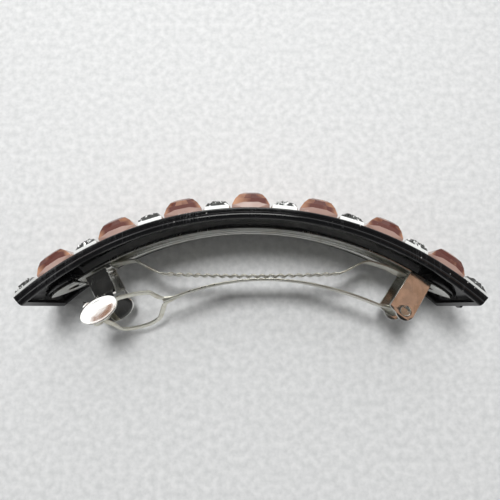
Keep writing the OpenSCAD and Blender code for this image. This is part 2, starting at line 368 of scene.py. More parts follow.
class EffectLibrary:
    """Builds each shared effect once, as a node group with named sockets."""

    def __init__(self) -> None:
        """Builds all groups."""
        self.groups = {
            Effect.SCRATCHES: self._scratches(),
            Effect.DUST: self._dust(),
            Effect.SMUDGES: self._smudges(),
            Effect.DRAWN: self._drawn(),
        }

    def _start(self, effect: Effect, inputs: dict[str, float],
               outputs: Sequence[str]) -> tuple[Nodes, bpy.types.Node, bpy.types.Node]:
        """Makes an empty group with a vector input, number inputs and number outputs."""
        tree = bpy.data.node_groups.new(effect.value, "ShaderNodeTree")
        tree.interface.new_socket("Vector", in_out="INPUT", socket_type="NodeSocketVector")
        for name, value in inputs.items():
            socket = tree.interface.new_socket(name, in_out="INPUT", socket_type="NodeSocketFloat")
            socket.default_value = value
        for name in outputs:
            tree.interface.new_socket(name, in_out="OUTPUT", socket_type="NodeSocketFloat")
        nodes = Nodes(tree)
        return nodes, nodes.add("NodeGroupInput"), nodes.add("NodeGroupOutput")

    def _scratches(self) -> bpy.types.NodeTree:
        """Hairline scratches that run every way."""
        n, given, out = self._start(Effect.SCRATCHES, {"Scale": 300.0, "Amount": 0.5}, ["Mask"])
        total = None
        for turn, stretch in ((0.4, 0.05), (1.9, 0.03), (2.7, 0.06)):
            place = n.add("Mapping", {"Vector": given.outputs["Vector"],
                                      "Rotation": (turn, 0.7 * turn, turn),
                                      "Scale": (1.0, stretch, 1.0)})
            noise = n.add("TexNoise", {"Vector": place.outputs["Vector"],
                                       "Scale": given.outputs["Scale"], "Detail": 2.0})
            line = n.maths("ABSOLUTE", n.maths("SUBTRACT", noise.outputs[0], 0.5))
            thin = n.ramp(line, 0.0, 0.012, 1.0, 0.0)
            total = thin if total is None else n.maths("MAXIMUM", total, thin)
        where = n.add("TexNoise", {"Vector": given.outputs["Vector"], "Scale": 180.0})
        patch = n.ramp(where.outputs[0], 0.45, 0.7)
        mask = n.maths("MULTIPLY", n.maths("MULTIPLY", total, patch), given.outputs["Amount"])
        n.tree.links.new(mask, out.inputs["Mask"])
        return n.tree

    def _dust(self) -> bpy.types.NodeTree:
        """Small pale specks, thicker in some places than in others."""
        n, given, out = self._start(Effect.DUST, {"Scale": 900.0, "Amount": 0.5}, ["Mask"])
        cells = n.add("TexVoronoi", {"Vector": given.outputs["Vector"],
                                     "Scale": given.outputs["Scale"]})
        speck = n.ramp(cells.outputs["Distance"], 0.08, 0.16, 1.0, 0.0)
        chance = n.add("SeparateColor", {"Color": cells.outputs["Color"]}).outputs[0]
        where = n.add("TexNoise", {"Vector": given.outputs["Vector"], "Scale": 90.0})
        limit = n.ramp(where.outputs[0], 0.35, 0.75, 1.0, 0.55)
        chosen = n.maths("GREATER_THAN", chance, limit)
        mask = n.maths("MULTIPLY", n.maths("MULTIPLY", speck, chosen), given.outputs["Amount"])
        n.tree.links.new(mask, out.inputs["Mask"])
        return n.tree

    def _smudges(self) -> bpy.types.NodeTree:
        """Soft patches of higher and lower roughness, as handling leaves."""
        n, given, out = self._start(Effect.SMUDGES, {"Scale": 150.0, "Low": 0.1, "High": 0.3},
                                    ["Roughness"])
        noise = n.add("TexNoise", {"Vector": given.outputs["Vector"],
                                   "Scale": given.outputs["Scale"], "Detail": 4.0,
                                   "Distortion": 0.6})
        level = n.add("MapRange", {"Value": noise.outputs[0], "From Min": 0.38, "From Max": 0.68,
                                   "To Min": given.outputs["Low"],
                                   "To Max": given.outputs["High"]})
        n.tree.links.new(level.outputs["Result"], out.inputs["Roughness"])
        return n.tree

    def _drawn(self) -> bpy.types.NodeTree:
        """Fine lines along X, as drawing leaves on a metal strip."""
        n, given, out = self._start(Effect.DRAWN, {"Scale": 4000.0}, ["Height"])
        place = n.stretched(given.outputs["Vector"], (0.02, 0.35, 1.0))
        noise = n.add("TexNoise", {"Vector": place, "Scale": given.outputs["Scale"],
                                   "Detail": 3.0})
        n.tree.links.new(noise.outputs[0], out.inputs["Height"])
        return n.tree

    def place(self, nodes: Nodes, effect: Effect, vector: bpy.types.NodeSocket,
              **values: float) -> bpy.types.Node:
        """Puts a shared effect into a material.

        Args:
            nodes: The material's nodes.
            effect: Which effect.
            vector: The coordinates that it follows.
            **values: Its number inputs.

        Returns:
            The group's node in the material.
        """
        node = nodes.add("Group", node_tree=self.groups[effect])
        nodes.tree.links.new(vector, node.inputs["Vector"])
        for name, value in values.items():
            node.inputs[name].default_value = value
        return node


def new_material(name: str) -> tuple[bpy.types.Material, Nodes, bpy.types.Node,
                                     bpy.types.NodeSocket]:
    """Starts a material.

    Args:
        name: The material's name.

    Returns:
        The material, its nodes, its Principled shader and the object's coordinates.
    """
    material = bpy.data.materials.new(name)
    material.use_nodes = True
    nodes = Nodes(material.node_tree)
    shader = material.node_tree.nodes["Principled BSDF"]
    where = nodes.add("TexCoord").outputs["Object"]
    return material, nodes, shader, where


# ---------------------------------------------------------------- finishes


@dataclass(frozen=True)
class BlackPlastic:
    """Moulded black plastic with a gloss, hairline scratches and dust.

    Attributes:
        name: The material's name.
        colour: The plastic's colour.
        gloss: Lowest and highest roughness.
        dust: How much dust shows.
        ripple: Height of the moulding's slow waves, in metres.
    """

    name: str
    colour: Rgb = (0.005, 0.005, 0.0055)
    gloss: tuple[float, float] = (0.09, 0.24)
    dust: float = 0.8
    ripple: float = 0.00003

    def build(self, effects: EffectLibrary) -> bpy.types.Material:
        """Makes the material."""
        material, n, shader, where = new_material(self.name)
        dust = effects.place(n, Effect.DUST, where, Scale=900.0, Amount=self.dust)
        scratch = effects.place(n, Effect.SCRATCHES, where, Scale=420.0, Amount=0.8)
        smudge = effects.place(n, Effect.SMUDGES, where, Scale=120.0, Low=self.gloss[0],
                               High=self.gloss[1])
        drift = n.add("TexNoise", {"Vector": where, "Scale": 60.0})
        deep = n.mix(drift.outputs[0], self.colour, tuple(1.7 * c for c in self.colour))
        scuffed = n.mix(n.maths("MULTIPLY", scratch.outputs["Mask"], 0.16), deep,
                        (0.25, 0.25, 0.26))
        colour = n.mix(dust.outputs["Mask"], scuffed, (0.42, 0.41, 0.39))
        rough = n.maths("ADD", smudge.outputs["Roughness"],
                        n.maths("MULTIPLY", dust.outputs["Mask"], 0.5))
        wave = n.add("TexNoise", {"Vector": where, "Scale": 220.0, "Detail": 1.0})
        ripple = n.add("Bump", {"Height": wave.outputs[0], "Distance": self.ripple})
        lines = n.add("Bump", {"Height": scratch.outputs["Mask"], "Distance": 0.000008,
                               "Strength": 0.6, "Normal": ripple.outputs[0]}, invert=True)
        for socket, name in ((colour, "Base Color"), (rough, "Roughness"),
                             (lines.outputs[0], "Normal")):
            n.tree.links.new(socket, shader.inputs[name])
        shader.inputs["IOR"].default_value = 1.52
        return material


@dataclass(frozen=True)
class BrightSteel:
    """Plated steel strip, bright, with drawing lines, smudges and scratches.

    Attributes:
        name: The material's name.
        colour: The metal's colour.
        gloss: Lowest and highest roughness.
        lines: Height of the drawing lines, in metres.
        dents: Height of the slow unevenness that breaks reflections up, in metres.
    """

    name: str
    colour: Rgb = (0.66, 0.66, 0.63)
    gloss: tuple[float, float] = (0.10, 0.26)
    lines: float = 0.000004
    dents: float = 0.00002

    def build(self, effects: EffectLibrary) -> bpy.types.Material:
        """Makes the material."""
        material, n, shader, where = new_material(self.name)
        scratch = effects.place(n, Effect.SCRATCHES, where, Scale=500.0, Amount=1.0)
        smudge = effects.place(n, Effect.SMUDGES, where, Scale=260.0, Low=self.gloss[0],
                               High=self.gloss[1])
        drawn = effects.place(n, Effect.DRAWN, where, Scale=4200.0)
        dust = effects.place(n, Effect.DUST, where, Scale=1500.0, Amount=0.35)
        drift = n.add("TexNoise", {"Vector": where, "Scale": 350.0, "Detail": 3.0})
        warm = tuple(c * f for c, f in zip(self.colour, (0.8, 0.76, 0.7)))
        tarnish = n.mix(n.ramp(drift.outputs[0], 0.5, 0.75), self.colour, warm)
        colour = n.mix(dust.outputs["Mask"], tarnish, (0.3, 0.29, 0.27))
        rough = n.maths("ADD", smudge.outputs["Roughness"],
                        n.maths("MULTIPLY", scratch.outputs["Mask"], 0.2))
        wave = n.add("TexNoise", {"Vector": where, "Scale": 420.0, "Detail": 1.0})
        dents = n.add("Bump", {"Height": wave.outputs[0], "Distance": self.dents})
        fine = n.add("Bump", {"Height": drawn.outputs["Height"], "Distance": self.lines,
                              "Normal": dents.outputs[0]})
        for socket, name in ((colour, "Base Color"), (rough, "Roughness"),
                             (fine.outputs[0], "Normal")):
            n.tree.links.new(socket, shader.inputs[name])
        shader.inputs["Metallic"].default_value = 1.0
        return material


@dataclass(frozen=True)
class BrownAcrylic:
    """Cut acrylic stone, clear amber brown with a darker red heart.

    Attributes:
        name: The material's name.
        edge: The colour where the stone is thin.
        heart: The colour in its depth.
        end: The paler colour of the flat end facets, a painted reflection of the pale surround.
    """

    name: str
    edge: Rgb = (0.66, 0.34, 0.19)
    heart: Rgb = (0.12, 0.018, 0.007)
    end: Rgb = (0.44, 0.31, 0.29)

    def build(self, effects: EffectLibrary) -> bpy.types.Material:
        """Makes the material."""
        material, n, shader, where = new_material(self.name)
        scratch = effects.place(n, Effect.SCRATCHES, where, Scale=600.0, Amount=0.6)
        dust = effects.place(n, Effect.DUST, where, Scale=1100.0, Amount=0.3)
        cloud = n.add("TexNoise", {"Vector": where, "Scale": 230.0, "Detail": 2.0})
        core = n.add("Attribute", attribute_name=CORE).outputs["Fac"]
        tone = n.add("Attribute", attribute_name=TONE).outputs["Fac"]
        shade = n.ramp(tone, 0.0, END_TONE, 1.35, 0.0)
        depth = n.maths("ADD", n.maths("MULTIPLY", core, shade),
                        n.ramp(cloud.outputs[0], 0.35, 0.65, -0.12, 0.12))
        body = n.mix(n.ramp(depth, 0.0, 0.5), self.edge, self.heart)
        # Painted reflection: facets marked with END_TONE get no depth and are mixed towards the
        # paler end colour, standing for the pale surround they reflect.
        body = n.mix(n.ramp(tone, 1.2, 1.5, 0.0, 0.75), body, self.end)
        colour = n.mix(dust.outputs["Mask"], body, (0.5, 0.45, 0.4))
        rough = n.ramp(scratch.outputs["Mask"], 0.0, 1.0, 0.05, 0.25)
        lines = n.add("Bump", {"Height": scratch.outputs["Mask"], "Distance": 0.000006},
                      invert=True)
        for socket, name in ((colour, "Base Color"), (rough, "Roughness"),
                             (lines.outputs[0], "Normal")):
            n.tree.links.new(socket, shader.inputs[name])
        shader.inputs["Transmission Weight"].default_value = 0.25
        shader.inputs["IOR"].default_value = 1.49
        return material


@dataclass(frozen=True)
class SilverFoil:
    """Metallised stone, mirror bright, with some crown facets painted near black as a painted
    reflection of a dark surround.

    Attributes:
        name: The material's name.
        colour: The bright facets' colour.
    """

    name: str
    colour: Rgb = (0.86, 0.87, 0.85)

    def build(self, effects: EffectLibrary) -> bpy.types.Material:
        """Makes the material."""
        material, n, shader, where = new_material(self.name)
        dust = effects.place(n, Effect.DUST, where, Scale=1600.0, Amount=0.6)
        smudge = effects.place(n, Effect.SMUDGES, where, Scale=500.0, Low=0.08, High=0.2)
        tone = n.add("Attribute", attribute_name=TONE).outputs["Fac"]
        # Painted reflection: crown facets whose tone is 1 are painted near black, standing for the
        # dark surround that mirror facets reflect.
        painted_dark_reflection = n.mix(n.maths("MULTIPLY", tone, 0.93), self.colour, (0.03, 0.03, 0.028))
        colour = n.mix(dust.outputs["Mask"], painted_dark_reflection, (0.08, 0.08, 0.075))
        n.tree.links.new(colour, shader.inputs["Base Color"])
        n.tree.links.new(smudge.outputs["Roughness"], shader.inputs["Roughness"])
        shader.inputs["Metallic"].default_value = 1.0
        return material


# ---------------------------------------------------------------- sub-assemblies


@dataclass
class Shell:
    """The curved black shell: a shallow tray with a wall all round.

    Attributes:
        arc: The circle that it follows.
        plate_t: Thickness of the top plate.
        wall_h: Height of the whole side wall.
        wall_t: Thickness of the side wall.
        corner: Rounding of the section's edges.
        groove: Radius of the groove between the top plate and the bead.
        end_wall_t: Thickness of the wall that closes each end.
        steps: Sections along the arc.
        end_soft: Rounding of the end faces' edges.
    """

    arc: Arc
    plate_t: float = 0.9
    wall_h: float = 2.3
    wall_t: float = 1.5
    corner: float = 0.25
    groove: float = 0.11
    end_wall_t: float = 1.2
    steps: int = 200
    end_soft: float = 0.14

    def section(self) -> Path2D:
        """The channel's outline as pairs of radius and height above the middle plane."""
        half = self.arc.mid_z
        inner = self.arc.outer_r - self.plate_t
        bead = self.wall_t / 2
        bead_r = self.arc.outer_r - self.wall_h + bead
        wall = [(self.arc.outer_r, 0.0), (self.arc.outer_r, 0.5 * half)]
        wall += circle_points(self.arc.outer_r - self.corner, half - self.corner, self.corner,
                              0, 90, 4)
        wall += circle_points(inner, half, self.groove, 0, -180, 6)
        wall += circle_points(bead_r, half - bead, bead, 62, 270, 18)
        wall += circle_points(inner - self.corner, half - self.wall_t - self.corner, self.corner,
                              90, 0, 3)
        wall += [(inner, 0.5 * half), (inner, 0.0)]
        return wall + [(r, -z) for r, z in reversed(wall[1:-1])]

    def build(self, material: bpy.types.Material) -> None:
        """Makes the shell's mesh, with the moulding's stub on its right end."""
        piece = Piece("shell_body")
        outline = self.section()
        rim = self.arc.outer_r - self.wall_h
        middle = self.arc.outer_r - self.wall_h / 2
        reach = self.arc.outer_r * math.radians(self.arc.half_angle)
        hollow = self.wall_h - self.plate_t
        depths = [0.0, 0.03, 0.08, self.end_soft, 0.4, 0.8]
        depths += [self.end_wall_t + hollow * (1 - math.cos(math.radians(9 * i)))
                   for i in range(11)]
        ends = [math.degrees((reach - d) / self.arc.outer_r) for d in depths]
        inner = [ends[-1] * (1 - 2 * i / self.steps) for i in range(1, self.steps)]
        stations = [*zip(ends, depths), *((a, reach) for a in inner),
                    *((-a, d) for a, d in zip(reversed(ends), reversed(depths)))]
        rings = []
        for angle, depth in stations:
            part = 1 - min(max(depth - self.end_wall_t, 0.0) / hollow, 1.0)
            floor = self.arc.outer_r - self.plate_t - hollow * (1 - math.sqrt(1 - part * part))
            inset = self.end_soft - depth
            draw = self.end_soft - math.sqrt(self.end_soft ** 2 - inset ** 2) if inset > 0 else 0.0
            ring = []
            for r, z in outline:
                if part > 0 and abs(z) < self.arc.mid_z - self.wall_t / 2:
                    r = min(r, max(floor, rim)) if r < middle + 0.5 else r
                r -= math.copysign(min(draw, abs(r - middle)), r - middle)
                z -= math.copysign(min(draw, abs(z)), z)
                ring.append(self.arc.point(r, angle, z))
            rings.append(ring)
        piece.loft(rings)
        stub = self.arc.station(rim + 0.55, self.arc.half_angle)
        path = [stub @ Vector((x, 0, 0)) for x in (-0.4, 0.3, 0.62, 0.78)]
        piece.strip(path, Vector((0, 0, 1)), lambda share: 2.3 - 0.5 * share ** 3, 0.85, 0.25)
        piece.finish(Body.SHELL, material, ["shell"])


@dataclass
class Stones:
    """The row of brown and silver stones.

    Attributes:
        arc: The circle that the row follows.
        pitch: Angle from one stone to the next.
        brown_count: Number of brown stones.
        silver_count: Number of silver stones.
        around: Facets round a brown stone.
        grains: Facets round a silver stone's crown.
        grain_rings: Rings of facets on a silver stone's crown.
        squareness: Power of a stone's outline; a higher one is squarer.
        dark_reflection_shares: Share of crown facets on each silver stone, in order, that get the
            painted dark reflection.
        brown_size: A brown stone's length along the row, its height and its width.
        silver_size: The same of a silver stone.
        lens_lean: Slope of the plane that cuts a brown stone's end facet.
        lens_face: How squarely a facet must face along Z to count as an end facet.
    """

    arc: Arc
    pitch: float = 5.8
    brown_count: int = 7
    silver_count: int = 8
    around: int = 16
    grains: int = 60
    grain_rings: int = 8
    squareness: float = 30.0
    dark_reflection_shares: tuple[float, ...] = (0.7, 0.85, 0.92, 0.92, 0.5, 0.92, 0.8, 0.95)
    brown_size: Vector = field(default_factory=lambda: Vector((8.1, 4.2, 17.4)))
    silver_size: Vector = field(default_factory=lambda: Vector((5.8, 2.7, 17.0)))
    lens_lean: float = 0.26
    lens_face: float = 0.955

    def rim(self, count: int, turn: float, half: tuple[float, float]) -> Path2D:
        """Points on a rounded rectangle's rim, count of them, turned by a part of a step."""
        out = []
        for k in range(count):
            a = 2 * math.pi * (k + turn) / count
            c, s = math.cos(a), math.sin(a)
            r = (abs(c) ** self.squareness + abs(s) ** self.squareness) ** (-1 / self.squareness)
            out.append((half[0] * r * c, half[1] * r * s))
        return out

    def brown(self, index: int, material: bpy.types.Material, dice: random.Random) -> None:
        """Makes one brown stone: rings of flat facets and a lens-shaped facet at each end.

        Args:
            index: Its place in the row.
            material: Its material.
            dice: Where each facet's tone comes from.
        """
        piece = Piece(f"brown_cut_stone_{index}")
        size = self.brown_size
        half = (size.x / 2, size.z / 2)
        levels = ((0.995, 0.99, 0.0), (0.995, 0.99, 0.22), (0.83, 0.9, 0.58),
                  (0.62, 0.81, 0.84), (0.4, 0.68, 0.99))
        rings = []
        for along, across, height in levels:
            shape = self.rim(self.around, 0, (half[0] * along, half[1] * across))
            rings.append([piece.mesh.verts.new((x, height * size.y, z)) for x, z in shape])
        for low, high in zip(rings, rings[1:]):
            for k in range(self.around):
                n = (k + 1) % self.around
                piece.mesh.faces.new((low[k], low[n], high[n], high[k]))
        piece.mesh.faces.new(rings[-1])
        piece.mesh.faces.new(rings[0][::-1])
        for end in (-1, 1):
            cut = bmesh.ops.bisect_plane(
                piece.mesh, geom=[*piece.mesh.verts, *piece.mesh.edges, *piece.mesh.faces],
                plane_co=(0, 0, end * half[1]), plane_no=(0, self.lens_lean, end),
                clear_outer=True)
            edges = [e for e in cut["geom_cut"] if isinstance(e, bmesh.types.BMEdge)]
            bmesh.ops.contextual_create(piece.mesh, geom=edges)
        bmesh.ops.recalc_face_normals(piece.mesh, faces=piece.mesh.faces)
        piece.mesh.normal_update()
        core = piece.mesh.verts.layers.float.new(CORE)
        for v in piece.mesh.verts:
            spread = max(abs(v.co.x) / half[0], 0.8 * v.co.y / size.y)
            v[core] = 1.0 - spread ** 1.6
        tone = piece.mesh.faces.layers.float.new(TONE)
        for face in piece.mesh.faces:
            # End facets get END_TONE, which makes the material paint a pale reflection on them.
            lens = abs(face.normal.z) > self.lens_face
            face[tone] = END_TONE if lens else dice.random()
        angle = 2 * self.pitch * (index - (self.brown_count + 1) / 2)
        piece.mesh.transform(self.arc.station(self.arc.outer_r, angle))
        stone = piece.finish(Body.SHELL, material, [f"brown_stone_{index}"], 8.0)
        soften = stone.modifiers.new("soft_edges", "BEVEL")
        soften.width = 0.07 * MM
        soften.segments = 2
        soften.angle_limit = math.radians(8)
        stone.modifiers.move(len(stone.modifiers) - 1, 0)

    def silver(self, index: int, material: bpy.types.Material, dice: random.Random) -> None:
        """Makes one silver stone: a smooth skirt and a crown of small uneven facets."""
        piece = Piece(f"silver_cut_stone_{index}")
        size = self.silver_size
        half = (size.x / 2, size.z / 2)
        rings = []
        for along, across, height in ((0.98, 0.98, 0.0), (1.0, 1.0, 0.07), (0.97, 0.97, 0.3),
                                      (0.93, 0.945, 0.42)):
            rings.append([Vector((x, height * size.y, z)) for x, z in
                          self.rim(self.grains, 0, (half[0] * along, half[1] * across))])
        for ring in range(1, self.grain_rings + 1):
            share = 1 - ring / (self.grain_rings + 0.6)
            rise = 0.42 + 0.48 * (1 - share ** 2.4)
            grain = []
            for x, z in self.rim(self.grains, 0.5 * (ring % 2),
                                 (0.92 * half[0] * share, 0.94 * half[1] * (0.7 + 0.3 * share))):
                bump = dice.uniform(-0.09, 0.1)
                shift = dice.uniform(-0.09, 0.09)
                grain.append(Vector((x + shift, (rise + bump) * size.y, z + 1.4 * shift)))
            rings.append(grain)
        piece.loft(rings)
        piece.mesh.normal_update()
        # Picks the crown facets that get the painted dark reflection.
        dark = self.dark_reflection_shares[index - 1]
        tone = piece.mesh.faces.layers.float.new(TONE)
        for face in piece.mesh.faces:
            crown = face.calc_center_median().y > 0.44 * size.y
            face[tone] = float(crown and dice.random() < dark)
        angle = 2 * self.pitch * (index - (self.silver_count + 1) / 2)
        piece.mesh.transform(self.arc.station(self.arc.outer_r, angle))
        piece.finish(Body.SHELL, material, [f"silver_stone_{index}"], 14.0)

    def build(self, brown: bpy.types.Material, silver: bpy.types.Material) -> None:
        """Makes the whole row."""
        dice = random.Random(7)
        for index in range(1, self.brown_count + 1):
            self.brown(index, brown, dice)
        for index in range(1, self.silver_count + 1):
            self.silver(index, silver, dice)


@dataclass
class BasePlate:
    """The clip's base plate with its end tabs, hinge ears and a dark wedge under each tab, in place
    of the CAD's glue, that is painted shade for the tab's shadow and dark reflection on the shell.

    Attributes:
        arc: The circle that it follows.
        lower_r: Radius of its lower face.
        tab_start: Angle where each tab begins.
        tab_tip: Angle of each tab's tip.
        tab_tip_r: Radius of the tip's lower face.
        width: Its width.
        thick: Its thickness.
        hinge_angle: Angle of the hinge line.
        hinge_r: Radius of the hinge line.
        hole_r: Radius of the hinge holes.
        end_r: Radius of the ears' round ends.
        groove_gap: Distance from one groove to the next.
        wedge_rim: How far the dark wedge stands out round a tab.
        shell_plate: Thickness of the shell's top plate, which the dark wedge reaches.
        steps: Sections along the arc.
    """

    arc: Arc
    width: float = 8.0
    thick: float = 0.6
    lower_r: float = 66.3
    tab_start: float = 34.6
    tab_tip: float = 40.9
    tab_tip_r: float = 67.75
    hinge_angle: float = 34.0
    hinge_r: float = 58.6
    hole_r: float = 1.05
    end_r: float = 2.1
    groove_gap: float = 2.0
    wedge_rim: float = 0.85
    shell_plate: float = 0.9
    steps: int = 96

    def tab_frame(self, side: int) -> tuple[Matrix, float]:
        """The frame of a tab's lower face and the tab's length.

        Args:
            side: 1 for the hinge end, -1 for the catch end.

        Returns:
            The frame, x from root to tip, y outwards; and the length.
        """
        root = self.arc.point(self.lower_r, side * self.tab_start)
        tip = self.arc.point(self.tab_tip_r, side * self.tab_tip)
        ahead = (tip - root).normalized()
        outward = Vector((0, 0, side)).cross(ahead)
        turn = Matrix((ahead, outward, Vector((0, 0, side)))).transposed().to_4x4()
        return Matrix.Translation(root) @ turn, (tip - root).length

    def half_width(self, x: float, length: float, width: float) -> float:
        """Half the width of a pointed tab at a distance from its root."""
        radius = (length * length + width * width / 4) / width
        return max(math.sqrt(max(radius ** 2 - max(x, 0.0) ** 2, 0.0)) - radius + width / 2, 0.02)

    def section(self, width: float) -> Path2D:
        """The plate's section, with three grooves along its lower face where it is wide."""
        edge = 0.16
        half, t = width / 2, self.thick
        top = circle_points(half - edge, t - edge, edge, 0, 90, 3)
        low = circle_points(half - edge, edge, edge, 270, 360, 3)
        points = [(-x, y) for x, y in low[::-1]]
        for middle in (-self.groove_gap, 0.0, self.groove_gap):
            middle *= width / self.width
            deep = 0.16 * width / self.width
            for offset, depth in ((-0.42, 0.0), (-0.26, 0.75), (0.0, 1.0), (0.26, 0.75),
                                  (0.42, 0.0)):
                points.append((middle + offset * width / self.width, depth * deep))
        return [*points, *low, *top, *[(-x, y) for x, y in top[::-1]]]

    def tab_hole(self) -> Path2D:
        """The drop-shaped hole's outline in the tab's plane."""
        return [(3.9, 0.0), *circle_points(1.6, 0, 0.85, 50, 310, 20)]

    def build(self, metal: bpy.types.Material, shade_wedge_plastic: bpy.types.Material) -> None:
        """Makes the plate with its ears, and the dark wedges under the tabs."""
        piece = Piece("clip_base")
        rings = []
        stops = [self.tab_start * (2 * i / self.steps - 1) for i in range(1, self.steps)]
        for side in (-1, 1):
            place, length = self.tab_frame(side)
            tab = []
            for i in range(25):
                x = length * (i / 24) ** 0.8
                width = 2 * self.half_width(x, length, self.width)
                tab.append([place @ Vector((x, v, -side * u)) for u, v in self.section(width)])
            rings = [*reversed(tab), *[
                [self.arc.point(self.lower_r + v, a, u) for u, v in self.section(self.width)]
                for a in stops]] if side < 0 else rings + tab
        piece.loft(rings)
        self.ears(piece)
        plate = piece.finish(Body.SHELL, metal, ["base_plate"], 35.0)
        self.pierce(plate)
        self.adhesive(shade_wedge_plastic)

    def pierce(self, plate: bpy.types.Object) -> None:
        """Cuts the drop-shaped holes through both tabs."""
        cutter = Piece("drop_holes")
        for side in (-1, 1):
            place, _ = self.tab_frame(side)
            cutter.loft([[place @ Vector((x, y, z)) for x, z in self.tab_hole()]
                         for y in (-1.0, 1.6)])
        bmesh.ops.recalc_face_normals(cutter.mesh, faces=cutter.mesh.faces)
        bmesh.ops.scale(cutter.mesh, vec=(MM, MM, MM), verts=cutter.mesh.verts)
        data = bpy.data.meshes.new(cutter.name)
        cutter.mesh.to_mesh(data)
        tool = bpy.data.objects.new(cutter.name, data)
        bpy.context.scene.collection.objects.link(tool)
        cut = plate.modifiers.new("holes", "BOOLEAN")
        cut.operation = "DIFFERENCE"
        cut.solver = "EXACT"
        cut.object = tool
        seen = plate.evaluated_get(bpy.context.evaluated_depsgraph_get())
        mesh = bpy.data.meshes.new_from_object(seen)
        plate.modifiers.clear()
        plate.data = mesh
        bpy.data.objects.remove(tool)

    def ears(self, piece: Piece) -> None:
        """Adds the two ears, each with its round hinge hole."""
        reach = self.lower_r - self.hinge_r + 0.3
        outline = [(1.7, reach), (-3.35, reach), (-3.4, -0.6), (-3.3, -0.9), (-3.05, -1.02),
                   *circle_points(0, 0, self.end_r, 222, 350, 16)]
        hole = circle_points(0, 0, self.hole_r, 0, 360, 40)[:-1]
        for side in Side:
            level = side.value * (self.width - self.thick) / 2
            place = self.arc.station(self.hinge_r, self.hinge_angle)
            piece.slab(outline, [hole], self.thick, place @ Matrix.Translation((0, 0, level)))

    def adhesive(self, shade_wedge_plastic: bpy.types.Material) -> None:
        """Adds the dark wedge that fills the gap between each tab and the shell, in place of the
        CAD's glue: painted shade for the tab's shadow and dark reflection.
        """
        # Each wedge is painted shade: a dark solid put where the tab's shadow and reflection fall.
        for side, name in ((-1, "left_glue"), (1, "right_glue")):
            piece = Piece(name + "_shade_wedge")
            place, length = self.tab_frame(side)
            full = length + self.wedge_rim
            rows = []
            for i in range(25):
                x = full * (i / 24) ** 0.8
                half = self.half_width(x, full, self.width + 2 * self.wedge_rim)
                ring = []
                for u, v in ((-1, 1), (-1, 0.3), (-0.94, 0.08), (-0.8, 0), (0.8, 0),
                             (0.94, 0.08), (1, 0.3), (1, 1)):
                    low = place @ Vector((x, self.thick + 0.02, u * half))
                    spoke = Vector((low.x, low.y - self.arc.centre_y, 0))
                    roof = spoke.normalized() * (self.arc.outer_r - self.shell_plate)
                    high = Vector((roof.x, roof.y + self.arc.centre_y, low.z))
                    ring.append(low.lerp(high, v))
                rows.append(ring)
            piece.loft(rows)
            piece.finish(Body.SHELL, shade_wedge_plastic, [name])


